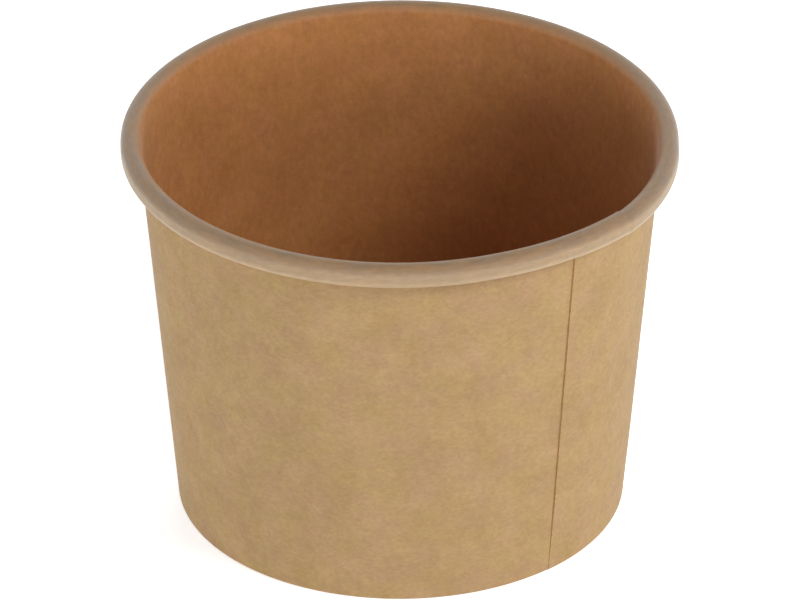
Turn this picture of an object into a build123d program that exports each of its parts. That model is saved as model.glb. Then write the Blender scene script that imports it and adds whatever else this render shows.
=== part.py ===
from build123d import *
import os
from math import acos, atan2, cos, degrees, hypot, radians, sin, sqrt, tan

# A paper ice cream tub: a lapped cone of paperboard with a rolled rim and a folded foot,
# and a pressed base held in that fold. It stands on z = 0 with its axis on Z. Sizes are in
# millimetres, and angles in degrees, counted from the front (-Y) towards +X.

# The whole tub
rim_diameter = 90.0      # over the rolled rim, away from the lap
foot_diameter = 73.0     # outside of the wall, where it would meet the table
tub_height = 66.5        # from the table to the top of the rim, away from the lap
board = 0.45             # thickness of the wall's paperboard
base_board = 0.40        # thickness of the base's paperboard

# The rolled rim
curl_width = 3.3         # from the inside of the wall to the outside of the roll
curl_land = 0.95         # straight stretch down the outside of the roll
curl_gap = 0.10          # between the roll's inner turn and the wall
curl_under_turn = 154.0  # how far the roll turns back in, under its outside

# The foot: the wall's lower edge folded in and up round the skirt of the base
hem_height = 7.0         # from the table to the free edge of the hem
seal_gap = 0.02          # between the skirt and the board on each side of it
base_lift = 0.60         # from the hem's free edge to the underside of the base

# The side seam, where one end of the blank laps over the other
lap_width = 9.2          # width of the strip where the wall is two boards thick
lap_fade = 3.6           # length of rim over which the roll swells to two boards
inner_edge_angle = 55.0  # where the inner end of the blank stops
step_fade = 5.0          # height over which the inside step runs out below the rim
ease_share = 0.7         # length of the easing, as a share of one that would be tangent
bite_share = 0.33        # how deep the roll's second layer starts, as a share of the board
lap_turn_share = 0.95    # how far round the roll that layer goes, as a share of the roll
overrun = 1.0            # how far a cutting shape reaches past what it cuts

quarter_turn = 90.0
half_turn = 180.0

# Values worked out from the sizes above
rim_radius = rim_diameter / 2
foot_radius = foot_diameter / 2
over_radius = curl_width / 2
under_radius = over_radius - (board + curl_gap) / 2
lap_bite = board * bite_share

# The wall leans so that its inner face runs on smoothly into the roll
curl_centre_reach = rim_radius - over_radius - foot_radius
curl_centre_height = tub_height - over_radius
curl_centre_distance = hypot(curl_centre_reach, curl_centre_height)
curl_centre_slope = atan2(curl_centre_height, curl_centre_reach)
lean = acos((over_radius - board) / curl_centre_distance) - curl_centre_slope
up_wall = Vector(sin(lean), cos(lean))
out_of_wall = Vector(cos(lean), -sin(lean))
curl_centre = Vector(rim_radius - over_radius, curl_centre_height)
wall_top = curl_centre - out_of_wall * (over_radius - board / 2)

# The foot is a stack of wall, skirt and hem
skirt_depth = board + seal_gap
hem_depth = skirt_depth + base_board + seal_gap
stack = hem_depth + board
base_under = hem_height + base_lift
floor_height = base_under + base_board
roll_under = tub_height - over_radius - curl_land - under_radius
lap_top = roll_under + board


def face_radius(height, depth):
    """Radius at a height, at a depth measured into the wall from its outer face."""
    return foot_radius + height * tan(lean) - depth / cos(lean)


def section_point(height, depth):
    return Vector(face_radius(height, depth), height)


def wall_point(angle, height, depth):
    """Point of the wall at an angle round the tub."""
    radius = face_radius(height, depth)
    return Vector(radius * sin(radians(angle)), -radius * cos(radians(angle)), height)


def creased(corners, folds, radius):
    """Face with straight sides that is rounded at its folds."""
    face = make_face(Polyline(*corners, close=True))
    for fold in folds:
        corner = face.vertices().sort_by_distance(fold)[0]
        face = fillet(corner, radius)
    return face


def at_angle(section, angle):
    """Section stood up at an angle round the tub."""
    return Rot(0, 0, angle - quarter_turn) * (Plane.XZ * section)


def turned(section, start_angle, end_angle):
    """Solid that a section sweeps out between two angles round the tub."""
    return revolve(at_angle(section, start_angle), Axis.Z, end_angle - start_angle)


def plane_through(low, high, beside):
    """Plane through three points, facing the side that up cross beside points to."""
    rise = high - low
    return Plane(origin=low, x_dir=rise, z_dir=rise.cross(beside - low))


def roll(start, over, under, under_turn):
    """Line of the roll: over the top, down its outside and back in below."""
    top = JernArc(start, up_wall, over, degrees(lean) - half_turn)
    side = Line(top @ 1, top @ 1 - Vector(0, curl_land))
    bottom = JernArc(side @ 1, side % 1, under, -under_turn)
    return [top, side, bottom]


def middle_roll(under_turn):
    """Line of the roll along the middle of its board."""
    return roll(wall_top, over_radius - board / 2, under_radius - board / 2, under_turn)


# Where the two ends of the blank lie: the outer end is parallel to the inner one
lap_foot_angle = inner_edge_angle - degrees(lap_width / face_radius(0, 0))
lap_waist_angle = inner_edge_angle - degrees(lap_width / face_radius(lap_top / 2, 0))
lap_top_angle = inner_edge_angle - degrees(lap_width / face_radius(lap_top, 0))
tangent_angle = degrees(sqrt(2 * board / face_radius(lap_top / 2, 0)))
ramp_angle = tangent_angle * ease_share
ramp_end_angle = inner_edge_angle + ramp_angle


def blank_ring():
    """The wall all round as one board: hem, foot, wall and roll."""
    hem_fold = section_point(0, stack)
    wall_fold = section_point(0, 0)
    corners = [
        section_point(hem_height, stack),
        hem_fold,
        wall_fold,
        wall_top + out_of_wall * (board / 2),
        wall_top - out_of_wall * (board / 2),
        section_point(board, board),
        section_point(board, hem_depth),
        section_point(hem_height, hem_depth),
    ]
    folded = creased(corners, [hem_fold, wall_fold], board)
    rolled = trace(middle_roll(curl_under_turn), line_width=board)
    return revolve(Plane.XZ * (folded + rolled), Axis.Z)


def lapped_layer():
    """Outer end of the blank: a layer on the wall, round the foot and on the hem.

    It has a cut edge on one side, and eases in to the single board on the other.
    """
    wall_fold = section_point(0, -board)
    hem_fold = section_point(0, stack + board)
    corners = [
        section_point(lap_top, -board),
        wall_fold,
        hem_fold,
        section_point(hem_height, stack + board),
        section_point(hem_height, stack - board / 2),
        section_point(board / 2, stack - board / 2),
        section_point(board / 2, board / 2),
        section_point(lap_top, board / 2),
    ]
    section = creased(corners, [wall_fold, hem_fold], board)
    solid = turned(section, lap_foot_angle - ramp_angle, ramp_end_angle)
    cut_edge = plane_through(
        wall_point(lap_foot_angle, 0, 0),
        wall_point(lap_top_angle, lap_top, 0),
        wall_point(lap_waist_angle, lap_top / 2, -board),
    )
    wall_easing = plane_through(
        wall_point(ramp_end_angle, 0, 0),
        wall_point(ramp_end_angle, lap_top, 0),
        wall_point(inner_edge_angle, lap_top / 2, -board),
    )
    hem_easing = plane_through(
        wall_point(ramp_end_angle, 0, stack),
        wall_point(ramp_end_angle, hem_height, stack),
        wall_point(inner_edge_angle, hem_height / 2, stack + board),
    )
    solid = split(solid, bisect_by=cut_edge, keep=Keep.TOP)
    solid = split(solid, bisect_by=wall_easing, keep=Keep.BOTTOM)
    return split(solid, bisect_by=hem_easing, keep=Keep.TOP)


def lap_roll(swell):
    """Section of the roll's second layer, which stands proud of the single roll by swell.

    It reaches in to the middle of the board below, and its two ends are sunk in that board.
    """
    growth = (swell - lap_bite) / 2
    start = wall_top - out_of_wall * (board / 2 - lap_bite)
    under_turn = curl_under_turn * lap_turn_share
    outside = roll(start, over_radius + growth, under_radius + growth, under_turn)
    middle = middle_roll(under_turn)
    first_end = Line(outside[0] @ 0, middle[0] @ 0)
    last_end = Line(outside[-1] @ 1, middle[-1] @ 1)
    return make_face([*outside, *middle, first_end, last_end])


def rim_lap():
    """Inner end of the blank on the rim, where it lies on the outside of the roll."""
    fade_angle = degrees(lap_fade / rim_radius)
    full = turned(lap_roll(board), lap_top_angle, inner_edge_angle)
    thick_end = at_angle(lap_roll(board), lap_top_angle)
    thin_end = at_angle(lap_roll(-lap_bite), lap_top_angle - fade_angle)
    return full + loft([thin_end, thick_end])


def inside_step():
    """Cut beside the inner end of the blank, where the outer end stands back from it."""
    step_top = wall_top.Y
    outline = Polyline(
        section_point(floor_height - base_board, 0),
        section_point(step_top - step_fade, 0),
        section_point(step_top, board + overrun),
        section_point(floor_height - base_board, board + overrun),
        close=True,
    )
    solid = turned(make_face(outline), inner_edge_angle, ramp_end_angle)
    easing = plane_through(
        wall_point(ramp_end_angle, floor_height, board),
        wall_point(ramp_end_angle, step_top, board),
        wall_point(inner_edge_angle, lap_top / 2, 0),
    )
    return split(solid, bisect_by=easing, keep=Keep.BOTTOM)


def side_wall():
    return blank_ring() + lapped_layer() + rim_lap() - inside_step()


def base_disc():
    """Round base with its edge turned down into the fold of the foot."""
    skirt_foot = board + 2 * seal_gap
    bend = section_point(floor_height, skirt_depth)
    corners = [
        Vector(0, floor_height),
        bend,
        section_point(skirt_foot, skirt_depth),
        section_point(skirt_foot, skirt_depth + base_board),
        section_point(base_under, skirt_depth + base_board),
        Vector(0, base_under),
    ]
    return revolve(Plane.XZ * creased(corners, [bend], base_board), Axis.Z)


os.makedirs("parts", exist_ok=True)
export_step(side_wall(), "parts/side_wall.step")
export_step(base_disc(), "parts/base_disc.step")
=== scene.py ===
"""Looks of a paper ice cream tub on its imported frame, laid out as an add-on and run as a script.

The wall is one fan-shaped blank of kraft board: lapped at the side seam, rolled out at the rim and
folded in at the foot. The base is a second, round blank, pressed and held in that fold. Both are
turned round the Z axis by Geometry Nodes from a section worked out here. Lengths are in metres, and
angles round the tub are counted from the front (-Y) towards +X.
"""

from collections import namedtuple
from math import acos, atan2, cos, hypot, pi, radians, sin, sqrt, tan

import bpy
from bpy.props import FloatProperty, FloatVectorProperty, IntProperty, PointerProperty
from mathutils import Matrix, Vector


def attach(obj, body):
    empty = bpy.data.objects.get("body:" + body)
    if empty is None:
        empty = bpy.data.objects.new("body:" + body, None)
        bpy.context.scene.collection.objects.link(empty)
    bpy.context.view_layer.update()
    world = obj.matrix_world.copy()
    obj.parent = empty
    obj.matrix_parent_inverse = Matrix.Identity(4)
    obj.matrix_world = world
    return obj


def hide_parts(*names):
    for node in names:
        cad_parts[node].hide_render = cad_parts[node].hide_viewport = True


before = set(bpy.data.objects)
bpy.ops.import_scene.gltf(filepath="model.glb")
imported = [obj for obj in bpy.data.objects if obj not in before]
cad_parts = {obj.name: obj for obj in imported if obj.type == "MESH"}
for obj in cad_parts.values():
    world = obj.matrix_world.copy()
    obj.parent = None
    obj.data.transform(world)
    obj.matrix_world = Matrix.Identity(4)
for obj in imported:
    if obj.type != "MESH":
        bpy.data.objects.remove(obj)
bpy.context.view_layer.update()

bl_info = {
    "name": "Paper ice cream tub",
    "version": (1, 0, 0),
    "blender": (4, 5, 0),
    "location": "3D View > Sidebar > Tub",
    "description": "Makes a kraft paper tub with a rolled rim, a lapped seam and a pressed base",
    "category": "Object",
}

WHOLE_TURN = 2 * pi
WHITE = (1.0, 1.0, 1.0)

# Which finish a face of the board takes
OUTSIDE, SEALED, CUT = 0, 1, 2


def maker(kind, **settings):
    """Maker of one kind of property, from a label, a description and a first value."""

    def make(label, description, first):
        return kind(name=label, description=description, default=first, **settings)

    return make


length = maker(FloatProperty, precision=5, unit="LENGTH")
turning = maker(FloatProperty, subtype="ANGLE")
share = maker(FloatProperty, subtype="FACTOR")
amount = maker(FloatProperty)
colour = maker(FloatVectorProperty, subtype="COLOR", min=0.0, max=1.0)
number = maker(IntProperty, min=1)


def angle(label, description, degrees):
    return turning(label, description, radians(degrees))


class TubShape(bpy.types.PropertyGroup):
    """Sizes of the tub."""

    rim_diameter: length("Rim", "Over the rolled rim, away from the lap", 0.090)
    foot_diameter: length("Foot", "Outside of the wall, where it would meet the table", 0.073)
    tub_height: length("Height", "From the table to the top of the rim, away from the lap", 0.0665)
    board: length("Wall board", "Thickness of the wall's paperboard", 0.00045)
    base_board: length("Base board", "Thickness of the base's paperboard", 0.0004)
    curl_width: length("Roll width", "From the inside of the wall to the outside of the roll", 0.0033)
    curl_land: length("Roll land", "Straight stretch down the outside of the roll", 0.00095)
    curl_gap: length("Roll gap", "Between the roll's inner turn and the wall", 0.0001)
    curl_under_turn: angle("Roll turn", "How far the roll turns back in, under its outside", 154.0)
    hem_height: length("Hem", "From the table to the free edge of the hem", 0.007)
    seal_gap: length("Seal gap", "Between the skirt and the board on each side of it", 0.00002)
    base_lift: length("Base lift", "From the hem's free edge to the underside of the base", 0.0006)
    lap_angle: angle("Lap", "How far round the wall is two boards thick", 11.9)
    lap_fade: length("Lap fade", "Length of rim over which the roll swells to two boards", 0.0036)
    inner_edge_angle: angle("Inner edge", "Where the inner end of the blank stops", 52.6)
    lap_share: share("Lap thickness", "How far the lap stands off the wall, as a share of the board", 0.75)
    press_share: share("Foot press", "How far it stands off at the pressed foot, likewise", 0.2)
    settle_share: share("Lap settling", "How much of that is left at the inner end of the blank", 0.85)
    easing: angle("Easing", "How far round the wall takes to settle past the lap", 55.0)
    hem_easing: angle("Hem easing", "How far round the hem takes to settle past the lap", 6.0)
    bite_share: share("Bite", "How deep the roll's second layer starts, as a share of the board", 0.33)
    swell_share: share("Rim swell", "How much fuller the roll is over the lap, as a share of a board", 0.25)
    rim_step_share: share("Rim step", "How much of the roll's swelling is left past its cut edge", 0.2)
    rim_step_run: length("Rim step run", "Length of rim that this step is drawn out over", 0.0003)
    corner: length("Lap corner", "How far the stiff lap pushes the rim out of round", 0.00115)
    corner_start: angle("Corner start", "Where the rim leaves the round, before the lap", 20.0)
    corner_end: angle("Corner end", "Where the rim is round again, past the lap", 88.0)
    slack: length("Slack", "How far the wall strays from a true cone", 0.00006)
    slack_size: length("Slack size", "Size of the waves in the wall", 0.016)
    seed: number("Seed", "Picks one set of waves", 7)


class TubFinish(bpy.types.PropertyGroup):
    """Colours of the board."""

    kraft_pale: colour("Kraft, pale", "Pale clouds in the outside of the board", (0.560, 0.380, 0.184))
    kraft_deep: colour("Kraft, deep", "Deep clouds in the outside of the board", (0.459, 0.293, 0.148))
    sealed_pale: colour("Sealed, pale", "Pale clouds in the sealed inside", (0.552, 0.253, 0.089))
    sealed_deep: colour("Sealed, deep", "Deep clouds in the sealed inside", (0.456, 0.194, 0.063))
    rolled_brown: colour("Rolled, brown", "Brown patches on the rolled rim", (0.385, 0.236, 0.120))
    rolled_grey: colour("Rolled, grey", "Grey patches on the rolled rim", (0.312, 0.210, 0.128))
    # Paler colour of the roll's lower outside: partly the board stretched most there, partly painted light
    # from the floor below
    pulled: colour("Stretched", "Outside of the roll, where it is stretched most", (0.592, 0.420, 0.240))
    cut: colour("Cut edge", "Raw edge of the board", (0.500, 0.290, 0.115))
    pale_strand: colour("Pale strand", "Pale fibres in the outside of the board", (0.680, 0.500, 0.300))
    sealed_strand: colour("Sealed strand", "Pale fibres under the sealed face", (0.620, 0.360, 0.170))
    dark_strand: colour("Dark strand", "Dark fibres in the board", (0.240, 0.130, 0.055))
    floor: colour("Floor", "Plain floor under the tub", (0.86, 0.86, 0.86))


class TubStage(bpy.types.PropertyGroup):
    """Camera, backdrop and floor."""

    camera_distance: length("Camera distance", "From the middle of the tub", 1.62)
    camera_elevation: angle("Camera elevation", "Above the horizon", 30.24)
    camera_roll: angle("Camera roll", "Tilt of the picture", -0.25)
    aim_rise: length("Aim", "How far above the middle of the tub the camera aims", 0.00148)
    lens: amount("Lens", "Focal length in mm on a 36 mm sensor", 447.6)
    ambient_side: amount("Ambient, side", "Light from all round", 0.68)
    ambient_top: amount("Ambient, top", "Light from straight above", 0.03)
    backdrop_start: share("Backdrop start", "How high up the white backdrop starts to fall off", 0.5)
    backdrop_top: amount("Backdrop, top", "What shows straight above", 0.35)
    lamp_distance: length("Lamp distance", "From the middle of the tub to each lamp", 1.3)
    floor_reach: length("Floor reach", "From the middle of the floor to its sides", 3.0)
    floor_lift: share("Floor lift", "Light that the floor adds where it is seen directly", 0.68)


Lamp = namedtuple("Lamp", ("name", "power", "azimuth", "elevation", "size"))

# Round lamps about the tub: power, degrees round from the front and above the horizon, and diameter
LAMPS = (
    Lamp("key", 6.9, 54.0, 38.0, 0.5),
    Lamp("front", 4.8, 0.0, 7.0, 0.4),
    Lamp("fill", 3.3, -75.0, 2.0, 0.2),
    Lamp("back", 4.8, 180.0, 30.0, 0.4),
)


class Bench:
    """Adds the nodes of one tree and wires them."""

    step = 190.0
    per_row = 14

    def __init__(self, tree):
        self.tree = tree
        tree.nodes.clear()

    def feed(self, socket, value):
        """Links a socket to an output, or sets its value. A colour is set as opaque."""
        if isinstance(value, bpy.types.NodeSocket):
            self.tree.links.new(value, socket)
        elif socket.type == "RGBA":
            socket.default_value = (*value, 1.0)
        else:
            socket.default_value = value

    def add(self, kind, settings=None, inputs=None):
        """A new node with its settings, and its inputs fed by name or number."""
        node = self.tree.nodes.new(kind)
        place = len(self.tree.nodes)
        node.location = (self.step * (place % self.per_row), -self.step * (place // self.per_row))
        for name, value in (settings or {}).items():
            setattr(node, name, value)
        for key, value in (inputs or {}).items():
            self.feed(node.inputs[key], value)
        return node

    def out(self, kind, settings=None, inputs=None, key=0):
        """Output of a new node, by name or number."""
        return self.add(kind, settings, inputs).outputs[key]

    def math(self, operation, first, second=0.0):
        return self.out("ShaderNodeMath", {"operation": operation}, {0: first, 1: second})

    def chained(self, operation, values):
        """One operation carried on from value to value."""
        result = values[0]
        for value in values[1:]:
            result = self.math(operation, result, value)
        return result

    def total(self, *values):
        return self.chained("ADD", values)

    def product(self, *values):
        return self.chained("MULTIPLY", values)

    def less(self, first, second):
        return self.math("SUBTRACT", first, second)

    def near(self, value, target, within):
        """1 where a value lies close to a target, and 0 elsewhere."""
        return self.out("ShaderNodeMath", {"operation": "COMPARE"}, {0: value, 1: target, 2: within})

    def vector(self, x, y=0.0, z=0.0):
        return self.out("ShaderNodeCombineXYZ", inputs={0: x, 1: y, 2: z})

    def parts(self, vector):
        return self.add("ShaderNodeSeparateXYZ", inputs={0: vector}).outputs

    def vector_math(self, operation, first, second):
        return self.out("ShaderNodeVectorMath", {"operation": operation}, {0: first, 1: second})

    def scaled(self, vector, factor):
        return self.out("ShaderNodeVectorMath", {"operation": "SCALE"}, {0: vector, "Scale": factor})

    def span(self, value, low, high, start=0.0, end=1.0, ease="LINEAR"):
        """Value taken from low..high to start..end, and held at both ends."""
        inputs = {"Value": value, "From Min": low, "From Max": high, "To Min": start, "To Max": end}
        return self.out("ShaderNodeMapRange", {"interpolation_type": ease, "clamp": True}, inputs)

    def mixed(self, factor, first, second, blend="MIX"):
        """Two colours mixed."""
        settings = {"data_type": "RGBA", "blend_type": blend}
        return self.out("ShaderNodeMix", settings, {0: factor, 6: first, 7: second}, key=2)

    def noise(self, vector, grain, dimensions="3D"):
        """Soft noise with features of about the grain's size."""
        inputs = {"Scale": 1 / grain.size, "Detail": grain.detail, "Roughness": grain.roughness}
        inputs["Vector"] = vector
        return self.out("ShaderNodeTexNoise", {"noise_dimensions": dimensions}, inputs)


class WallForm:
    """Lines and angles that follow from the sizes. A section point is (radius, height)."""

    def __init__(self, shape):
        self.board = shape.board
        self.foot_radius = shape.foot_diameter / 2
        self.rim_radius = shape.rim_diameter / 2
        self.over = shape.curl_width / 2
        self.under = self.over - (shape.board + shape.curl_gap) / 2
        reach = self.rim_radius - self.over - self.foot_radius
        rise = shape.tub_height - self.over
        self.lean = acos((self.over - shape.board) / hypot(reach, rise)) - atan2(rise, reach)
        self.out = Vector((cos(self.lean), -sin(self.lean)))
        self.across = Vector((1 / cos(self.lean), 0.0))
        self.over_centre = Vector((self.rim_radius - self.over, rise))
        self.under_centre = Vector((self.rim_radius - self.under, rise - shape.curl_land))
        self.roll_under = self.under_centre.y - self.under
        self.skirt_depth = shape.board + shape.seal_gap
        self.hem_depth = self.skirt_depth + shape.base_board + shape.seal_gap
        self.stack = self.hem_depth + shape.board
        self.base_under = shape.hem_height + shape.base_lift
        self.floor_height = self.base_under + shape.base_board
        self.fade_angle = shape.lap_fade / self.rim_radius

    def point(self, height, depth):
        """Section point at a height, at a depth into the wall from its outer face."""
        return Vector((self.foot_radius + height * tan(self.lean) - depth / cos(self.lean), height))


# One point of a section, and its moves by the lap: lap where the outer end of the blank lies on the
# wall, past where the wall goes on from there, fold where the hem is two boards thick, and swell
# where the roll is
MOVES = ("lap", "past", "fold", "swell")
MARKS = ("face", "roll", "paled", "pulled", "free")
Station = namedtuple("Station", ("place", *MARKS, *MOVES))
STILL = Vector((0.0, 0.0))

# Marks that stay on the finished sheet
KEPT_MARKS = ("roll", "paled", "pulled")

# Shares of the roll's turn towards the inside at which its mark and its paling start to fade
ROLL_FADE_SHARE = 0.8
PALE_FADE_SHARE = 0.55

# The paler look of the roll's lower outside, partly stretched board and partly painted light from the floor
# below, fades from this far below the outermost line of the roll to as far above it
PULL_AND_LIGHT_FADE_TURN = pi / 5


def station(place, face, **values):
    """Station whose marks are 0, and whose moves are nil, where no value is given."""
    marks = [values.get(mark, 0.0) for mark in MARKS[1:]]
    moves = [values.get(move, STILL) for move in MOVES]
    return Station(place, face, *marks, *moves)


def shares(count):
    """Evenly spread shares from 0 up to, but not with, 1."""
    return [i / count for i in range(count)]


def ray(turn):
    return Vector((cos(turn), sin(turn)))


def line(start, end, count, face, **values):
    """Stations on a straight line, without its end."""
    return [station(start.lerp(end, s), face, **values) for s in shares(count)]


def arc(centre, radius, start, end, count, face, **values):
    """Stations on an arc from one turn to another, without its end."""
    turns = [start + s * (end - start) for s in shares(count)]
    return [station(centre + ray(turn) * radius, face, **values) for turn in turns]


def reach_to(origin, direction, centre, radius):
    """How far a ray from inside a circle goes until it meets it."""
    offset = centre - origin
    along = offset.dot(direction)
    return along + sqrt(along * along + radius * radius - offset.dot(offset))


def eased(value, low, high):
    """0 below low, 1 above high, and a smooth rise between."""
    part = min(max((value - low) / (high - low), 0.0), 1.0)
    return part * part * (3 - 2 * part)


class WallRows:
    """How many stations each stretch of the wall's section has."""

    hem = 6
    fold = 8
    foot = 3
    wall = 44
    over = 32
    land = 3
    under = 24
    cut = 2


class WallColumns:
    """How many columns each stretch round the wall has."""

    lap = 18
    easing = 50
    wall = 160
    fade = 8


class BaseRows:
    """How many stations each stretch of the base's section has."""

    plate = 24
    skirt = 5
    bend = 8
    cut = 2


# How many columns the base has all round
BASE_COLUMNS = 160


def wall_section(shape, form):
    """Stations of the wall's closed section: up the outside of the blank and back down its inside."""
    board = form.board
    hem_fold = form.point(0.0, form.stack)
    wall_fold = form.point(0.0, 0.0)
    hem_bend = Vector((hem_fold.x + board / tan((pi / 2 - form.lean) / 2), board))
    wall_bend = Vector((wall_fold.x - board / tan((pi / 2 + form.lean) / 2), board))
    wall_low = wall_bend + form.out * board
    hem_low = hem_bend - form.out * board
    wall_high = form.over_centre - form.out * (form.over - board)
    hem_high = form.point(shape.hem_height, form.stack)
    tail = -shape.curl_under_turn
    inner_turn = pi - form.lean
    inner_high = form.over_centre - form.out * form.over
    pocket_out = form.point(board, board)
    pocket_in = form.point(board, form.hem_depth)
    hem_outer = form.point(shape.hem_height, form.hem_depth)

    # The roll where it is two boards thick
    bite = board * shape.bite_share
    growth = (board - bite) / 2
    lap_over_centre = form.over_centre + form.out * (bite + growth)
    lap_under_centre = lap_over_centre + Vector((form.over - form.under, -shape.curl_land))

    def lap_at(height):
        loose = eased(height, 0.0, 2 * shape.hem_height)
        return form.across * board * (shape.press_share + (shape.lap_share - shape.press_share) * loose)

    def lap_under_roll(height):
        return lap_at(height) * (1 - eased(height, form.roll_under + board, form.roll_under + 2 * board))

    def lap_above_fold(height):
        return lap_at(height) * eased(height, shape.hem_height, form.base_under)

    foot_lap = lap_at(0.0)
    rim_lap = lap_at(shape.tub_height)
    hem_lap = -form.across * board * shape.lap_share

    def rolled(place, turn, swell):
        return station(
            place,
            SEALED,
            roll=1 - eased(turn, ROLL_FADE_SHARE * inner_turn, inner_turn),
            paled=1 - eased(turn, PALE_FADE_SHARE * inner_turn, inner_turn),
            pulled=1 - eased(turn, -PULL_AND_LIGHT_FADE_TURN, PULL_AND_LIGHT_FADE_TURN),
            past=rim_lap,
            swell=swell,
        )

    def rolled_arc(centre, radius, lap_centre, start, end, count):
        for s in shares(count):
            turn = start + s * (end - start)
            reach = reach_to(centre, ray(turn), lap_centre, radius + growth)
            swell = ray(turn) * max(reach - radius, 0.0) * shape.swell_share
            made.append(rolled(centre + ray(turn) * radius, turn, swell))

    def freedom(height):
        part = (height - form.floor_height) / (form.roll_under - form.floor_height)
        return sin(pi * min(max(part, 0.0), 1.0)) ** 2

    # The outside of the blank
    made = line(hem_high, hem_low, WallRows.hem, OUTSIDE, fold=hem_lap)
    made += arc(hem_bend, board, inner_turn, 3 * pi / 2, WallRows.fold, OUTSIDE, fold=hem_lap)
    for s in shares(WallRows.foot):
        place = Vector((hem_bend.x + s * (wall_bend.x - hem_bend.x), 0.0))
        made.append(station(place, OUTSIDE, lap=foot_lap * s, past=foot_lap * s, fold=hem_lap * (1 - s)))
    made += arc(wall_bend, board, -pi / 2, -form.lean, WallRows.fold, OUTSIDE, lap=foot_lap, past=foot_lap)
    for s in shares(WallRows.wall):
        place = wall_low.lerp(wall_high, s)
        lap = lap_under_roll(place.y)
        made.append(station(place, OUTSIDE, free=freedom(place.y), lap=lap, past=lap_at(place.y)))
    made += arc(form.over_centre, form.over - board, inner_turn, 0.0, WallRows.over, OUTSIDE, past=rim_lap)
    made += arc(form.under_centre, form.under - board, 0.0, tail, WallRows.under, OUTSIDE, past=rim_lap)
    tip = form.under_centre + ray(tail) * form.under
    made += line(tip - ray(tail) * board, tip, WallRows.cut, CUT, past=rim_lap)
    # Its sealed inside, which shows on the roll
    rolled_arc(form.under_centre, form.under, lap_under_centre, tail, 0.0, WallRows.under)
    for s in shares(WallRows.land):
        place = Vector((form.rim_radius, form.under_centre.y + s * shape.curl_land))
        made.append(rolled(place, 0.0, Vector((board * shape.swell_share, 0.0))))
    rolled_arc(form.over_centre, form.over, lap_over_centre, 0.0, inner_turn, WallRows.over)
    for s in shares(WallRows.wall):
        place = inner_high.lerp(pocket_out, s)
        made.append(station(place, SEALED, free=freedom(place.y), past=lap_above_fold(place.y)))
    made += line(pocket_out, pocket_in, WallRows.cut, SEALED)
    made += line(pocket_in, hem_outer, WallRows.hem, SEALED)
    for s in shares(WallRows.cut):
        made.append(station(hem_outer.lerp(hem_high, s), CUT, fold=hem_lap * s))
    return made


def base_section(shape, form):
    """Stations of the base's section, from the axis below to the axis above."""
    board = shape.base_board
    skirt_foot = shape.board + 2 * shape.seal_gap
    inner_corner = form.point(form.base_under, form.skirt_depth + board)
    inner_foot = form.point(skirt_foot, form.skirt_depth + board)
    outer_foot = form.point(skirt_foot, form.skirt_depth)
    corner = form.point(form.floor_height, form.skirt_depth)
    bend = Vector((corner.x - board / tan((pi / 2 - form.lean) / 2), form.floor_height - board))
    bend_low = bend + form.out * board
    made = line(Vector((0.0, form.base_under)), inner_corner, BaseRows.plate, OUTSIDE)
    made += line(inner_corner, inner_foot, BaseRows.skirt, OUTSIDE)
    made += line(inner_foot, outer_foot, BaseRows.cut, CUT)
    made += line(outer_foot, bend_low, BaseRows.skirt, SEALED)
    made += arc(bend, board, -form.lean, pi / 2, BaseRows.bend, SEALED)
    middle = Vector((0.0, form.floor_height))
    made += line(Vector((bend.x, form.floor_height)), middle, BaseRows.plate, SEALED)
    made.append(station(middle, SEALED))
    return made


def lengths_along(stations):
    """Length of board from the foot of the section to each station, on its own face."""
    run = [0.0]
    for before, after in zip(stations, stations[1:]):
        run.append(run[-1] + (after.place - before.place).length)
    foot = min(range(len(stations)), key=lambda i: stations[i].place.y)
    sealed = [i for i in range(len(stations)) if stations[i].face == SEALED]
    back = min(sealed, key=lambda i: stations[i].place.y)
    return [run[back] - run[i] if s.face == SEALED else run[i] - run[foot] for i, s in enumerate(stations)]


def section_object(name, stations):
    """Object whose points are the stations, with their marks as attributes."""
    mesh = bpy.data.meshes.new(name)
    spots = [(s.place.x, 0.0, s.place.y) for s in stations]
    mesh.from_pydata(spots, [(i, i + 1) for i in range(len(spots) - 1)], [])
    for mark in MOVES:
        moves = [(getattr(s, mark).x, 0.0, getattr(s, mark).y) for s in stations]
        layer = mesh.attributes.new(mark, "FLOAT_VECTOR", "POINT")
        layer.data.foreach_set("vector", [part for move in moves for part in move])
    values = {mark: [float(getattr(s, mark)) for s in stations] for mark in MARKS}
    values["along"] = lengths_along(stations)
    for mark, numbers in values.items():
        layer = mesh.attributes.new(mark, "FLOAT", "POINT")
        layer.data.foreach_set("value", numbers)
    piece = bpy.data.objects.new(name, mesh)
    bpy.context.scene.collection.objects.link(piece)
    return piece


def socket_kind(value):
    """Kind of socket that takes a value."""
    if isinstance(value, bpy.types.Material):
        return "NodeSocketMaterial"
    return "NodeSocketInt" if isinstance(value, int) else "NodeSocketFloat"


def new_tree(name, values):
    """Bench of a new geometry tree, and its inputs: the section, and one for each named value."""
    tree = bpy.data.node_groups.new(name, "GeometryNodeTree")
    sockets = tree.interface
    sockets.new_socket(name="Geometry", in_out="OUTPUT", socket_type="NodeSocketGeometry")
    sockets.new_socket(name="Section", in_out="INPUT", socket_type="NodeSocketGeometry")
    for label, value in values.items():
        sockets.new_socket(name=label, in_out="INPUT", socket_type=socket_kind(value))
    bench = Bench(tree)
    return bench, bench.add("NodeGroupInput").outputs


def named(bench, kind, name):
    return bench.out("GeometryNodeInputNamedAttribute", {"data_type": kind}, {"Name": name}, "Attribute")


def sampled(bench, section, row, kind, value):
    """Value of a section's field at a row."""
    inputs = {"Geometry": section, "Value": value, "Index": row}
    return bench.out("GeometryNodeSampleIndex", {"data_type": kind, "domain": "POINT"}, inputs, "Value")


def mark_at(bench, section, row, mark, kind="FLOAT"):
    """A mark or move of the section at a row."""
    return sampled(bench, section, row, kind, named(bench, kind, mark))


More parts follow.
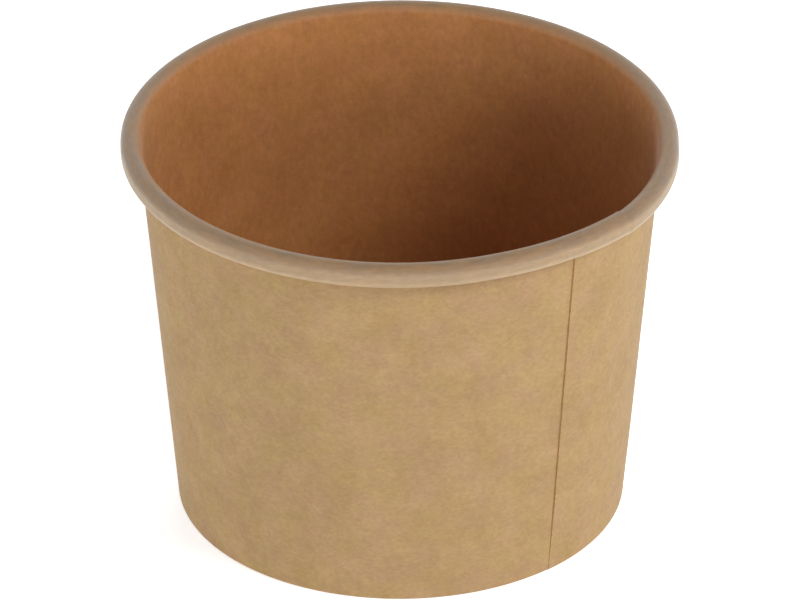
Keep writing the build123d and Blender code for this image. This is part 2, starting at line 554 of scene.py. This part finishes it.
def place_at(bench, section, row):
    """Place of the section's point at a row."""
    position = bench.out("GeometryNodeInputPosition")
    return sampled(bench, section, row, "FLOAT_VECTOR", position)


def stored(bench, geometry, kind, domain, name, value):
    inputs = {"Geometry": geometry, "Name": name, "Value": value}
    return bench.out("GeometryNodeStoreNamedAttribute", {"data_type": kind, "domain": domain}, inputs)


def polar(bench, reach, turn):
    """Sideways and forward part of a reach at a turn."""
    sideways = bench.product(reach, bench.math("SINE", turn))
    forward = bench.product(reach, bench.math("COSINE", turn))
    return sideways, forward


def turned_place(bench, section_place, turn):
    """Place in space of a section point at an angle round the tub."""
    parts = bench.parts(section_place)
    sideways, forward = polar(bench, parts["X"], turn)
    return bench.vector(sideways, bench.product(forward, -1.0), parts["Z"])


def grid_of(bench, columns, rows):
    """Grid of points, and the column and row of each."""
    grid = bench.add("GeometryNodeMeshGrid", inputs={"Vertices X": columns, "Vertices Y": rows})
    index = bench.out("GeometryNodeInputIndex")
    column = bench.math("FLOOR", bench.math("DIVIDE", index, rows))
    row = bench.less(index, bench.product(column, rows))
    return grid.outputs["Mesh"], column, row


def laid_out(bench, mesh, section, row, plan, place):
    """The sheet with its marks, and with the plan of the flat blank as its map, in its place."""
    for mark in KEPT_MARKS:
        mesh = stored(bench, mesh, "FLOAT", "POINT", mark, mark_at(bench, section, row, mark))
    settings = {"data_type": "FLOAT_VECTOR", "domain": "POINT"}
    spot = bench.out("GeometryNodeFieldOnDomain", settings, {"Value": plan})
    mesh = stored(bench, mesh, "FLOAT2", "CORNER", "blank", spot)
    return bench.out("GeometryNodeSetPosition", inputs={"Geometry": mesh, "Position": place})


# Points closer than this are one, and a sharper bend than this is a crease
MERGE_DISTANCE = 0.000001
CREASE_ANGLE = radians(40.0)

# How far a face's finish, or a column, may lie from the number that is meant
FINISH_TOLERANCE = 0.1
COLUMN_TOLERANCE = 0.2

# Halfway from 0 to 1: between two columns, up the roll's mark and in the middle of a noise
HALFWAY = 0.5


def shaded(bench, geometry, domain, chosen, smooth):
    inputs = {"Geometry": geometry, "Selection": chosen, "Shade Smooth": smooth}
    return bench.out("GeometryNodeSetShadeSmooth", {"domain": domain}, inputs)


def finish_board(bench, geometry, section, inputs, cut_faces=None):
    """Closes the turned sheet, creases its sharp edges and gives each face its finish."""
    row = bench.math("FLOOR", named(bench, "FLOAT", "row"))
    face = mark_at(bench, section, row, "face")
    geometry = stored(bench, geometry, "FLOAT", "FACE", "finish", face)
    if cut_faces is not None:
        raw = bench.product(cut_faces, float(CUT))
        finish = bench.math("MAXIMUM", raw, named(bench, "FLOAT", "finish"))
        geometry = stored(bench, geometry, "FLOAT", "FACE", "finish", finish)
    closing = {"Geometry": geometry, "Distance": MERGE_DISTANCE}
    made = bench.out("GeometryNodeMergeByDistance", inputs=closing)
    bend = bench.out("GeometryNodeInputMeshEdgeAngle", key="Unsigned Angle")
    made = shaded(bench, made, "FACE", True, True)
    made = shaded(bench, made, "EDGE", bench.math("GREATER_THAN", bend, CREASE_ANGLE), False)
    made = bench.out("GeometryNodeRealizeInstances", inputs={"Geometry": made})
    finish = named(bench, "FLOAT", "finish")
    for kind, label in ((OUTSIDE, "Outside"), (SEALED, "Sealed face"), (CUT, "Cut edge")):
        chosen = bench.near(finish, float(kind), FINISH_TOLERANCE)
        setting = {"Geometry": made, "Selection": chosen, "Material": inputs[label]}
        made = bench.out("GeometryNodeSetMaterial", inputs=setting)
    bench.add("NodeGroupOutput", inputs={"Geometry": made})


# Powers by which the rim's corner rises over the lap, falls past it and grows up the wall
CORNER_RISE, CORNER_FALL, CORNER_UP = 1.5, 1.25, 1.3

# How much finer detail the waves in the wall have
SLACK_DETAIL = 1.0


def wall_tree(values):
    """Tree that turns the wall's section into the lapped and rolled blank."""
    bench, inputs = new_tree("Lapped wall", values)
    section = inputs["Section"]

    # The columns run from the outer cut edge right round to the inner one, and the last column
    # closes the edge of the lap
    ease_start = bench.total(inputs["Lap columns"], 1.0)
    wall_start = bench.total(ease_start, inputs["Easing columns"])
    fade_start = bench.total(wall_start, inputs["Wall columns"])
    last = bench.total(fade_start, inputs["Fade columns"])
    closing = bench.total(last, 1.0)
    columns = bench.total(closing, 1.0)
    rows = bench.total(inputs["Stations"], 1.0)
    mesh, column, row = grid_of(bench, columns, rows)
    station_row = bench.math("MODULO", row, inputs["Stations"])
    round_column = bench.math("MODULO", column, closing)
    lap_part = bench.span(round_column, 0.0, inputs["Lap columns"])
    ease_part = bench.span(round_column, ease_start, wall_start)
    wall_part = bench.span(round_column, wall_start, fade_start)
    fade_part = bench.span(round_column, fade_start, last)

    # Where each column stands: the blank is cut along the lines of the cone
    lap_angle = inputs["Lap angle"]
    edge_angle = inputs["Inner edge angle"]
    ease_angle = inputs["Easing angle"]
    fade_angle = inputs["Fade angle"]
    rest = bench.less(bench.less(bench.less(WHOLE_TURN, lap_angle), ease_angle), fade_angle)
    turn = bench.less(edge_angle, lap_angle)
    stretches = ((lap_part, lap_angle), (ease_part, ease_angle), (wall_part, rest), (fade_part, fade_angle))
    for part, width in stretches:
        turn = bench.total(turn, bench.product(part, width))

    # On the roll the inner end of the blank is drawn out
    at_edge = bench.near(round_column, ease_start, COLUMN_TOLERANCE)
    rolled = mark_at(bench, section, station_row, "roll")
    turn = bench.total(turn, bench.product(at_edge, rolled, inputs["Rim step angle"]))

    # How far each column takes part in the moves by the lap
    past_edge = bench.math("GREATER_THAN", round_column, inputs["Lap columns"])
    in_lap = bench.less(1.0, past_edge)
    lapped = bench.product(in_lap, bench.span(lap_part, 0.0, 1.0, 1.0, inputs["Settling"]))
    easing = bench.span(ease_part, 0.0, 1.0, inputs["Settling"], 0.0, ease="SMOOTHSTEP")
    going_on = bench.product(past_edge, easing)
    hem_end = bench.total(edge_angle, inputs["Hem easing angle"])
    folded = bench.span(turn, edge_angle, hem_end, 1.0, 0.0, ease="SMOOTHSTEP")
    swelling = bench.span(fade_part, 0.0, 1.0, ease="SMOOTHSTEP")
    swollen = bench.total(in_lap, swelling, bench.product(at_edge, inputs["Rim step"]))
    place = place_at(bench, section, station_row)
    for mark, weight in zip(MOVES, (lapped, going_on, folded, swollen)):
        move = mark_at(bench, section, station_row, mark, "FLOAT_VECTOR")
        place = bench.vector_math("ADD", place, bench.scaled(move, weight))

    # The lap is stiff, so the rim runs straight over it and has a soft corner at its inner edge
    rise = bench.span(turn, inputs["Corner start"], edge_angle)
    next_rise = bench.span(bench.less(turn, WHOLE_TURN), inputs["Corner start"], edge_angle)
    fall = bench.span(turn, edge_angle, inputs["Corner end"])
    fall = bench.less(1.0, bench.math("POWER", fall, CORNER_FALL))
    cornered = bench.product(bench.math("POWER", rise, CORNER_RISE), fall)
    cornered = bench.total(cornered, bench.math("POWER", next_rise, CORNER_RISE))
    height = bench.span(bench.parts(place)["Z"], 0.0, inputs["Rim height"])
    pushed = bench.product(cornered, bench.math("POWER", height, CORNER_UP), inputs["Corner"])
    place = bench.vector_math("ADD", place, bench.vector(pushed))

    # The wall strays a little from a true cone between the foot and the rim
    wave_inputs = {
        "Vector": turned_place(bench, place, turn),
        "W": inputs["Seed"],
        "Scale": bench.math("DIVIDE", 1.0, inputs["Slack size"]),
        "Detail": SLACK_DETAIL,
    }
    waves = bench.out("ShaderNodeTexNoise", {"noise_dimensions": "4D"}, wave_inputs)
    free = mark_at(bench, section, station_row, "free")
    stray = bench.product(bench.less(waves, HALFWAY), 2.0, free, inputs["Slack"])
    place = turned_place(bench, bench.vector_math("ADD", place, bench.vector(stray)), turn)

    # The flat blank is a fan, and its plan is the sheet's map
    after = bench.math("GREATER_THAN", column, last)
    whole_turn = bench.total(turn, bench.product(after, WHOLE_TURN))
    fan_reach = bench.total(inputs["Fan radius"], mark_at(bench, section, station_row, "along"))
    plan = bench.vector(*polar(bench, fan_reach, bench.product(whole_turn, inputs["Fan share"])))
    mesh = stored(bench, mesh, "FLOAT", "POINT", "row", row)
    mesh = stored(bench, mesh, "FLOAT", "POINT", "column", column)
    mesh = laid_out(bench, mesh, section, station_row, plan, place)

    # The two ends of the blank are the strips of faces between paired columns
    column_here = named(bench, "FLOAT", "column")
    inner_end = bench.near(column_here, bench.total(inputs["Lap columns"], HALFWAY), COLUMN_TOLERANCE)
    outer_end = bench.near(column_here, bench.total(last, HALFWAY), COLUMN_TOLERANCE)
    off_roll = bench.math("LESS_THAN", named(bench, "FLOAT", "roll"), HALFWAY)
    ends = bench.product(bench.total(inner_end, outer_end), off_roll)
    finish_board(bench, mesh, section, inputs, cut_faces=ends)
    return bench.tree


def base_tree(values):
    """Tree that turns the base's section into the pressed base."""
    bench, inputs = new_tree("Pressed base", values)
    section = inputs["Section"]
    columns = bench.total(inputs["Columns"], 1.0)
    mesh, column, row = grid_of(bench, columns, inputs["Stations"])
    turn = bench.product(bench.math("DIVIDE", column, inputs["Columns"]), WHOLE_TURN)
    place = turned_place(bench, place_at(bench, section, row), turn)
    plan = bench.vector(*polar(bench, mark_at(bench, section, row, "along"), turn))
    mesh = stored(bench, mesh, "FLOAT", "POINT", "row", row)
    mesh = laid_out(bench, mesh, section, row, plan, place)
    finish_board(bench, mesh, section, inputs)
    return bench.tree


def settle(piece, tree, values):
    """Runs a tree on a piece once and keeps the result as a plain mesh."""
    modifier = piece.modifiers.new(tree.name, "NODES")
    modifier.node_group = tree
    for item in tree.interface.items_tree:
        if item.in_out == "INPUT" and item.name in values:
            modifier[item.identifier] = values[item.name]
    depsgraph = bpy.context.evaluated_depsgraph_get()
    made = bpy.data.meshes.new_from_object(piece.evaluated_get(depsgraph), depsgraph=depsgraph)
    piece.modifiers.clear()
    drawn = piece.data
    piece.data = made
    bpy.data.meshes.remove(drawn)
    if not made.polygons:
        raise RuntimeError(f"{piece.name} came out empty")
    # A grid starts with an empty slot, which no face of the board takes
    if made.materials[0] is None:
        made.materials.pop(index=0)


Noise = namedtuple("Noise", ("size", "detail", "roughness"))


class Grain:
    """What shows in the board: its size, how much finer detail it has, and how strong that is."""

    cloud = Noise(0.0075, 2.0, 0.55)
    tint = Noise(0.005, 2.0, 0.5)
    patch = Noise(0.0014, 3.0, 0.6)
    flock = Noise(0.0018, 3.0, 0.6)
    speck = Noise(0.0008, 2.0, 0.6)
    streak = Noise(0.0005, 2.0, 0.6)
    tooth = Noise(0.0003, 2.0, 0.6)
    torn = Noise(0.0003, 3.0, 0.7)
    strand = Noise(1.0, 1.0, 0.4)


# Strands in the board: their lie in degrees, length, width and how rare they are
PALE_STRANDS = (
    (82.0, 0.0022, 0.00016, 0.62),
    (106.0, 0.0016, 0.00014, 0.63),
    (14.0, 0.0014, 0.00014, 0.64),
)
DARK_STRANDS = ((94.0, 0.0013, 0.00013, 0.66),)
STRAND_EDGE = 0.07

# Between these two values soft noise has nearly all its points
NOISE_LOW, NOISE_HIGH = 0.3, 0.7

# Weights of the noises that the deep colour follows, and how far from halfway it is all pale or deep
CLOUD_WEIGHT, FLOCK_WEIGHT = 0.55, 0.45
CLOUD_REACH = 0.23

# How much darker and lighter the specks are
SPECK_SHARE = 0.075

# Tints that drift over the board, and how far their noise lies from that of the clouds
PINK_TINT = (1.02, 0.995, 1.075)
YELLOW_TINT = (0.986, 1.003, 0.895)
TINT_SHIFT = (1.0, 1.0, 1.0)

# What the gloss of a look says, in this order
GLOSS = ("Diffuse Roughness", "Specular IOR Level", "Sheen Weight", "Sheen Roughness")

# How much longer a streak on the roll is than it is wide
STREAK_LENGTH = 4.5


class KraftLook:
    """Bare outside of the board. Its specks are drawn out sideways."""

    contrast = 1.0
    draw = 1.6
    pale_share = 0.08
    dark_share = 0.10
    tooth_share = 0.022
    rough = (0.72, 0.86)
    tooth_weight = 0.6
    strand_weight = 0.4
    flock_weight = 0.8
    relief = 0.00004
    strength = 0.35
    gloss = (0.6, 0.3, 0.12, 0.3)


class SealedLook:
    """Inside of the board. Its specks are drawn out upwards, and the roll has shares of its own."""

    contrast = 1.3
    draw = 0.6
    pale_share = 0.15
    dark_share = 0.2
    pulled_and_lit_shares = (0.82, 1.0)
    rolled_flock_share = 0.05
    rolled_streak_share = 0.07
    rough = (0.5, 0.62)
    rolled_smoother = (0.22, 0.1)
    tooth_weight = 0.3
    flock_weight = 0.8
    patch_weight = 1.0
    streak_weight = 0.5
    relief = 0.00006
    strength = 0.3
    gloss = (0.4, 0.7, 0.22, 0.3)


class CutLook:
    """Raw cut through the board."""

    torn_share = 0.3
    rough = (0.84, 0.94)
    relief = 0.00005
    strength = 0.5
    gloss = (0.8, 0.2, 0.0, 0.3)


Ground = namedtuple("Ground", ("plan", "colour", "pale", "dark", "flocks", "tooth"))


def spread_of(bench, noise, start=0.0, end=1.0):
    """Noise taken to the values from start to end."""
    return bench.span(noise, NOISE_LOW, NOISE_HIGH, start, end)


def toned(bench, ground, noise, depth):
    """Colour made darker and lighter by a share that follows a noise."""
    return bench.mixed(1.0, ground, spread_of(bench, noise, 1 - depth, 1 + depth), blend="MULTIPLY")


def summed(bench, *weighted):
    """Sum of values, each times its weight."""
    return bench.total(*[bench.product(value, weight) for value, weight in weighted])


def strands(bench, plan, kinds):
    """Thin strands in the plan of the blank, as a mask."""
    mask = None
    for lie, long, wide, least in kinds:
        lying = {"Vector": plan, "Rotation": (0.0, 0.0, radians(lie)), "Scale": (wide, long, 1.0)}
        laid = bench.out("ShaderNodeMapping", {"vector_type": "TEXTURE"}, lying)
        noise = bench.noise(laid, Grain.strand, dimensions="2D")
        kind = bench.span(noise, least, least + STRAND_EDGE, ease="SMOOTHSTEP")
        mask = kind if mask is None else bench.math("MAXIMUM", mask, kind)
    return mask


def paper_ground(bench, pale, deep, look):
    """Clouded and tinted colour of the board with its specks, and what else its finish follows."""
    spot = bench.out("ShaderNodeTexCoord", key="Object")
    plan = bench.out("ShaderNodeUVMap", {"uv_map": "blank"})
    clouds = bench.noise(spot, Grain.cloud)
    flocks = bench.noise(spot, Grain.flock)
    tooth = bench.noise(spot, Grain.tooth)
    specks = bench.noise(bench.vector_math("MULTIPLY", spot, (1.0, 1.0, look.draw)), Grain.speck)
    tints = bench.noise(bench.vector_math("ADD", spot, TINT_SHIFT), Grain.tint)
    depth = summed(bench, (clouds, CLOUD_WEIGHT), (flocks, FLOCK_WEIGHT))
    reach = CLOUD_REACH / look.contrast
    ground = bench.mixed(bench.span(depth, HALFWAY - reach, HALFWAY + reach), pale, deep)
    pink = bench.mixed(1.0, ground, PINK_TINT, blend="MULTIPLY")
    yellow = bench.mixed(1.0, ground, YELLOW_TINT, blend="MULTIPLY")
    ground = bench.mixed(spread_of(bench, tints), yellow, pink)
    ground = toned(bench, ground, specks, SPECK_SHARE * look.contrast)
    light = strands(bench, plan, PALE_STRANDS)
    dark = strands(bench, plan, DARK_STRANDS)
    return Ground(plan, ground, light, dark, flocks, tooth)


def stranded(bench, paper, look, pale, dark):
    """Colour of the board with its pale and dark strands."""
    ground = bench.mixed(bench.product(paper.pale, look.pale_share), paper.colour, pale)
    return bench.mixed(bench.product(paper.dark, look.dark_share), ground, dark)


def mark_of(bench, name):
    """A mark that the sheet carries from its section."""
    return bench.out("ShaderNodeAttribute", {"attribute_name": name}, key="Fac")


def turn_of(bench, vector):
    """Angle round the middle of a plan, and the distance from it."""
    parts = bench.parts(vector)
    turn = bench.math("ARCTAN2", parts["X"], parts["Y"])
    flat = bench.vector_math("MULTIPLY", vector, (1.0, 1.0, 0.0))
    away = bench.out("ShaderNodeVectorMath", {"operation": "LENGTH"}, {0: flat}, "Value")
    return turn, away


def new_material(name):
    made = bpy.data.materials.new(name)
    made.use_nodes = True
    return made, Bench(made.node_tree)


def closed_with(bench, shader):
    bench.add("ShaderNodeOutputMaterial", inputs={"Surface": shader})


def dressed(bench, ground, rough, height, look):
    """Closes a board's material. The look's relief is what one unit of height stands for."""
    bumps = {"Strength": look.strength, "Distance": look.relief, "Height": height}
    normal = bench.out("ShaderNodeBump", inputs=bumps)
    inputs = {"Base Color": ground, "Roughness": rough, "Normal": normal, **dict(zip(GLOSS, look.gloss))}
    closed_with(bench, bench.out("ShaderNodeBsdfPrincipled", inputs=inputs))


def kraft_face(name, finish):
    """Matte, uncoated outside of the board."""
    made, bench = new_material(name)
    look = KraftLook
    paper = paper_ground(bench, finish.kraft_pale, finish.kraft_deep, look)
    ground = stranded(bench, paper, look, finish.pale_strand, finish.dark_strand)
    ground = toned(bench, ground, paper.tooth, look.tooth_share)
    height = summed(
        bench,
        (paper.tooth, look.tooth_weight),
        (paper.pale, look.strand_weight),
        (paper.flocks, look.flock_weight),
    )
    dressed(bench, ground, spread_of(bench, paper.flocks, *look.rough), height, look)
    return made


def sealed_face(name, finish):
    """Inside of the board under its thin clear coat, streaked and paler where it is rolled out, with
    painted light from below on the lower outside of the roll, where the board is also stretched most.
    """
    made, bench = new_material(name)
    look = SealedLook
    paper = paper_ground(bench, finish.sealed_pale, finish.sealed_deep, look)
    ground = stranded(bench, paper, look, finish.sealed_strand, finish.dark_strand)

    # The roll has grey and brown patches, and streaks that run along it
    roll = mark_of(bench, "paled")
    turn, away = turn_of(bench, paper.plan)
    along = bench.math("DIVIDE", bench.product(turn, away), STREAK_LENGTH)
    lane = bench.vector(along, away)
    patches = bench.noise(lane, Grain.patch, dimensions="2D")
    streaks = bench.noise(lane, Grain.streak, dimensions="2D")
    rolled = bench.mixed(spread_of(bench, patches), finish.rolled_grey, finish.rolled_brown)
    # The roll's lower outside is paler: partly the board stretched most there, partly painted light from
    # the floor below
    pulled = bench.product(mark_of(bench, "pulled"), spread_of(bench, patches, *look.pulled_and_lit_shares))
    rolled = bench.mixed(pulled, rolled, finish.pulled)
    rolled = toned(bench, rolled, paper.flocks, look.rolled_flock_share)
    rolled = toned(bench, rolled, streaks, look.rolled_streak_share)
    ground = bench.mixed(roll, ground, rolled)

    flat_height = summed(bench, (paper.tooth, look.tooth_weight), (paper.flocks, look.flock_weight))
    roll_height = summed(bench, (patches, look.patch_weight), (streaks, look.streak_weight))
    height = bench.total(flat_height, bench.product(roll_height, roll))
    smoother = bench.product(roll, spread_of(bench, patches, *look.rolled_smoother))
    rough = bench.less(spread_of(bench, paper.flocks, *look.rough), smoother)
    dressed(bench, ground, rough, height, look)
    return made


def cut_edge(name, finish):
    """Raw cut through the board."""
    made, bench = new_material(name)
    spot = bench.out("ShaderNodeTexCoord", key="Object")
    torn = bench.noise(spot, Grain.torn)
    ground = toned(bench, finish.cut, torn, CutLook.torn_share)
    dressed(bench, ground, spread_of(bench, torn, *CutLook.rough), torn, CutLook)
    return made


def board_finishes(finish):
    """The three finishes of the board, made once for both pieces."""
    makers = {
        "Outside": ("Kraft outside", kraft_face),
        "Sealed face": ("Sealed kraft inside", sealed_face),
        "Cut edge": ("Cut kraft edge", cut_edge),
    }
    made = {}
    for label, (name, maker) in makers.items():
        made[label] = bpy.data.materials.get(name) or maker(name, finish)
    return made


class TUB_OT_side_wall(bpy.types.Operator):
    """Make the lapped wall with its rolled rim and folded foot"""

    bl_idname = "tub.side_wall"
    bl_label = "Make side wall"

    def execute(self, context):
        shape = context.scene.tub_shape
        form = WallForm(shape)
        stations = wall_section(shape, form)
        piece = section_object("tub_side_wall", stations)
        values = {
            "Stations": len(stations),
            "Lap columns": WallColumns.lap,
            "Easing columns": WallColumns.easing,
            "Wall columns": WallColumns.wall,
            "Fade columns": WallColumns.fade,
            "Lap angle": shape.lap_angle,
            "Inner edge angle": shape.inner_edge_angle,
            "Easing angle": shape.easing,
            "Hem easing angle": shape.hem_easing,
            "Fade angle": form.fade_angle,
            "Settling": shape.settle_share,
            "Rim step": shape.rim_step_share,
            "Rim step angle": shape.rim_step_run / form.rim_radius,
            "Rim height": shape.tub_height,
            "Corner": shape.corner,
            "Corner start": shape.corner_start,
            "Corner end": shape.corner_end,
            "Fan radius": form.foot_radius / sin(form.lean),
            "Fan share": sin(form.lean),
            "Slack": shape.slack,
            "Slack size": shape.slack_size,
            "Seed": shape.seed,
        }
        values.update(board_finishes(context.scene.tub_finish))
        settle(piece, wall_tree(values), values)
        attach(piece, "root")
        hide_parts("side_wall")
        return {"FINISHED"}


class TUB_OT_base_disc(bpy.types.Operator):
    """Make the pressed base"""

    bl_idname = "tub.base_disc"
    bl_label = "Make base"

    def execute(self, context):
        shape = context.scene.tub_shape
        stations = base_section(shape, WallForm(shape))
        piece = section_object("tub_base_disc", stations)
        values = {"Stations": len(stations), "Columns": BASE_COLUMNS}
        values.update(board_finishes(context.scene.tub_finish))
        settle(piece, base_tree(values), values)
        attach(piece, "root")
        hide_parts("base_disc")
        return {"FINISHED"}


def aimed(thing, place, target, roll=0.0):
    """Stands a camera or lamp at a place, looking at a target."""
    turn = (target - place).to_track_quat("-Z", "Y").to_matrix().to_4x4()
    thing.matrix_world = Matrix.Translation(place) @ turn @ Matrix.Rotation(roll, 4, "Z")


def direction(azimuth, elevation):
    """Unit vector to an azimuth from the front towards +X, and an elevation."""
    flat = cos(elevation)
    return Vector((flat * sin(azimuth), -flat * cos(azimuth), sin(elevation)))


def seen_directly(bench):
    """1 where the camera, a mirror or glass sees the surface, and 0 where it only gives light."""
    path = bench.add("ShaderNodeLightPath").outputs
    straight = bench.math("MAXIMUM", path["Is Camera Ray"], path["Is Glossy Ray"])
    return bench.math("MAXIMUM", straight, path["Is Transmission Ray"])


class TUB_OT_stage(bpy.types.Operator):
    """Make the floor, the light and the camera"""

    bl_idname = "tub.stage"
    bl_label = "Make stage"

    def execute(self, context):
        scene = context.scene
        middle = Vector((0.0, 0.0, scene.tub_shape.tub_height / 2))
        self.make_floor(scene)
        self.make_world(scene)
        for lamp in LAMPS:
            self.make_lamp(scene, lamp, middle)
        self.make_camera(scene, middle)
        scene.view_settings.view_transform = "Standard"
        return {"FINISHED"}

    def make_floor(self, scene):
        reach = scene.tub_stage.floor_reach
        mesh = bpy.data.meshes.new("floor")
        corners = [(-reach, -reach, 0.0), (reach, -reach, 0.0), (reach, reach, 0.0), (-reach, reach, 0.0)]
        mesh.from_pydata(corners, [], [(0, 1, 2, 3)])
        floor = bpy.data.objects.new("floor", mesh)
        scene.collection.objects.link(floor)
        made, bench = new_material("Plain floor")
        plain = bench.out("ShaderNodeBsdfDiffuse", inputs={"Color": scene.tub_finish.floor})
        lift = bench.product(seen_directly(bench), scene.tub_stage.floor_lift)
        glow = bench.out("ShaderNodeEmission", inputs={"Strength": lift})
        closed_with(bench, bench.out("ShaderNodeAddShader", inputs={0: plain, 1: glow}))
        mesh.materials.append(made)

    def make_world(self, scene):
        stage = scene.tub_stage
        world = bpy.data.worlds.new("Studio")
        world.use_nodes = True
        bench = Bench(world.node_tree)
        way = bench.out("ShaderNodeTexCoord", key="Generated")
        height = bench.parts(way)["Z"]
        glow = bench.span(height, 0.0, 1.0, stage.ambient_side, stage.ambient_top)
        shown = bench.span(height, stage.backdrop_start, 1.0, 1.0, stage.backdrop_top)
        round_light = bench.out("ShaderNodeBackground", inputs={"Color": WHITE, "Strength": glow})
        backdrop = bench.out("ShaderNodeBackground", inputs={"Color": WHITE, "Strength": shown})
        chosen = {0: seen_directly(bench), 1: round_light, 2: backdrop}
        both = bench.out("ShaderNodeMixShader", inputs=chosen)
        bench.add("ShaderNodeOutputWorld", inputs={"Surface": both})
        scene.world = world

    def make_lamp(self, scene, lamp, middle):
        """Round lamp that lights the tub and isn't seen as a streak in its gloss."""
        data = bpy.data.lights.new(lamp.name, "AREA")
        data.energy = lamp.power
        data.shape = "DISK"
        data.size = lamp.size
        thing = bpy.data.objects.new(lamp.name, data)
        thing.visible_glossy = False
        scene.collection.objects.link(thing)
        way = direction(radians(lamp.azimuth), radians(lamp.elevation))
        aimed(thing, middle + way * scene.tub_stage.lamp_distance, middle)

    def make_camera(self, scene, middle):
        stage = scene.tub_stage
        data = bpy.data.cameras.new("camera")
        data.lens = stage.lens
        camera = bpy.data.objects.new("camera", data)
        scene.collection.objects.link(camera)
        place = middle + direction(0.0, stage.camera_elevation) * stage.camera_distance
        aimed(camera, place, middle + Vector((0.0, 0.0, stage.aim_rise)), stage.camera_roll)
        scene.camera = camera


class TUB_PT_panel(bpy.types.Panel):
    """Sizes, colours and makers of the tub"""

    bl_idname = "TUB_PT_panel"
    bl_label = "Paper ice cream tub"
    bl_space_type = "VIEW_3D"
    bl_region_type = "UI"
    bl_category = "Tub"

    def draw(self, context):
        for group in (context.scene.tub_shape, context.scene.tub_finish, context.scene.tub_stage):
            box = self.layout.box()
            for name in group.__annotations__:
                box.prop(group, name)
        for operator in OPERATORS:
            self.layout.operator(operator.bl_idname)


OPERATORS = (TUB_OT_side_wall, TUB_OT_base_disc, TUB_OT_stage)
GROUPS = {"tub_shape": TubShape, "tub_finish": TubFinish, "tub_stage": TubStage}
CLASSES = (*GROUPS.values(), *OPERATORS, TUB_PT_panel)


def register():
    for cls in CLASSES:
        bpy.utils.register_class(cls)
    for name, group in GROUPS.items():
        setattr(bpy.types.Scene, name, PointerProperty(type=group))


def unregister():
    for name in GROUPS:
        delattr(bpy.types.Scene, name)
    for cls in reversed(CLASSES):
        bpy.utils.unregister_class(cls)


def main():
    register()
    bpy.ops.tub.side_wall()
    bpy.ops.tub.base_disc()
    bpy.ops.tub.stage()


if __name__ == "__main__":
    main()
